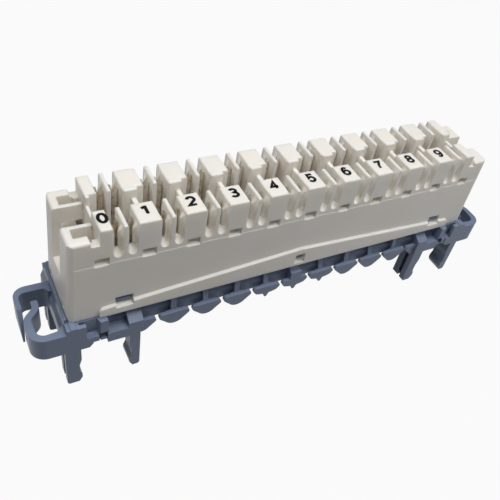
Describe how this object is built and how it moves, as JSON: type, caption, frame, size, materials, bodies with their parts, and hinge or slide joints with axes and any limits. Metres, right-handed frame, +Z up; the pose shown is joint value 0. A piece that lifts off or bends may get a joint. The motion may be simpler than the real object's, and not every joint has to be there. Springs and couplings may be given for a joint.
{
  "type": "punch down wiring block",
  "caption": "Long narrow ivory terminal block with rows of slotted contacts, on a grey base with wire hooks, end loops and clip legs.",
  "frame": {"origin": "centre of the bounding box in plan, at the height of the eight clip feet", "axes": "+X along the block, -Y the side with the numerals and the open wire loops, +Z up from the feet to the block tops"},
  "size_m": [0.124, 0.0202, 0.0415],
  "materials": {
    "housing_plastic": "satin moulded thermoplastic polyester, ivory",
    "base_plastic": "satin moulded thermoplastic, blue grey",
    "contact_metal": "silver plated special brass, satin"
  },
  "bodies": {
    "root": {"housing": "housing_plastic", "base": "base_plastic", "front_contact_01": "contact_metal", "front_contact_02": "contact_metal", "front_contact_03": "contact_metal", "front_contact_04": "contact_metal", "front_contact_05": "contact_metal", "front_contact_06": "contact_metal", "front_contact_07": "contact_metal", "front_contact_08": "contact_metal", "front_contact_09": "contact_metal", "front_contact_10": "contact_metal", "front_contact_11": "contact_metal", "front_contact_12": "contact_metal", "front_contact_13": "contact_metal", "front_contact_14": "contact_metal", "front_contact_15": "contact_metal", "front_contact_16": "contact_metal", "front_contact_17": "contact_metal", "front_contact_18": "contact_metal", "front_contact_19": "contact_metal", "front_contact_20": "contact_metal", "rear_contact_01": "contact_metal", "rear_contact_02": "contact_metal", "rear_contact_03": "contact_metal", "rear_contact_04": "contact_metal", "rear_contact_05": "contact_metal", "rear_contact_06": "contact_metal", "rear_contact_07": "contact_metal", "rear_contact_08": "contact_metal", "rear_contact_09": "contact_metal", "rear_contact_10": "contact_metal", "rear_contact_11": "contact_metal", "rear_contact_12": "contact_metal", "rear_contact_13": "contact_metal", "rear_contact_14": "contact_metal", "rear_contact_15": "contact_metal", "rear_contact_16": "contact_metal", "rear_contact_17": "contact_metal", "rear_contact_18": "contact_metal", "rear_contact_19": "contact_metal", "rear_contact_20": "contact_metal"}
  },
  "joints": []
}
